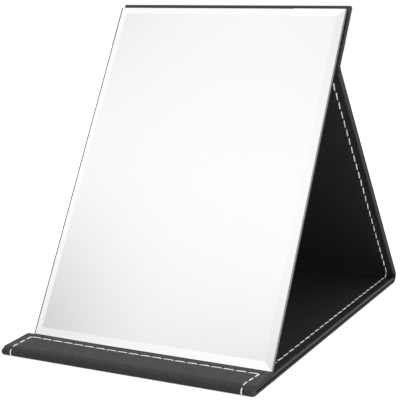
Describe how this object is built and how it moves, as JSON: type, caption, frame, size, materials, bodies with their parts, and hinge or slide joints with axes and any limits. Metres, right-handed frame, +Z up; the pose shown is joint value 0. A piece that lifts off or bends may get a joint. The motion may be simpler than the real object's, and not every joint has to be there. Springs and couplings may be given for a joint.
{
  "type": "folding makeup mirror",
  "caption": "Bevelled makeup mirror in a stitched leather easel case that stands open as a tent: the mirror leans on the back panel and its foot rests behind a raised front lip",
  "frame": {"origin": "middle of the footprint, on the surface that the case stands on", "axes": "+X to the right of a person facing the mirror, +Y to the back, +Z up; the case stands open with the mirror leaning back"},
  "size_m": [0.1422, 0.2424, 0.1813],
  "materials": {
    "cover_leather": "fine-grained black synthetic leather, satin",
    "lining_leather": "fine-grained black synthetic leather, a little duller than the cover",
    "board": "grey paper board, hidden inside the panels",
    "thread": "white twisted sewing thread",
    "adhesive": "double-sided adhesive sheet, hidden",
    "silver": "silver and paint coat on the back of the glass",
    "glass": "clear polished float glass with a polished bevel"
  },
  "bodies": {
    "base": {"base_cover": "cover_leather", "base_board": "board", "base_lining": "lining_leather", "lip_board": "board", "base_stitches_left": "thread", "base_stitches_right": "thread", "lip_stitches": "thread", "spine_cover": "cover_leather", "spine_lining": "lining_leather"},
    "back_panel": {"back_cover": "cover_leather", "back_board": "board", "back_lining": "lining_leather", "back_stitches_left": "thread", "back_stitches_right": "thread"},
    "mirror_panel": {"strip_cover": "cover_leather", "strip_board": "board", "strip_lining": "lining_leather", "strip_stitches": "thread", "strip_tape": "adhesive", "backing_cover": "cover_leather", "backing_board": "board", "mirror_tape": "adhesive", "mirror_coating": "silver", "mirror_glass": "glass"}
  },
  "joints": [
    {"name": "rear_fold", "type": "hinge", "parent": "base", "child": "back_panel", "pos_m": [0, 0.11976, 0.00413], "axis": [-1, 0, 0], "range_deg": [0, 131]},
    {"name": "mirror_crease", "type": "hinge", "parent": "back_panel", "child": "mirror_panel", "pos_m": [0, -0.00506, 0.14772], "axis": [1, 0, 0], "range_deg": [0, 71]}
  ],
  "couplings": [
    {"joint": "mirror_crease", "follows": "rear_fold", "ratio": 0.54198}
  ]
}
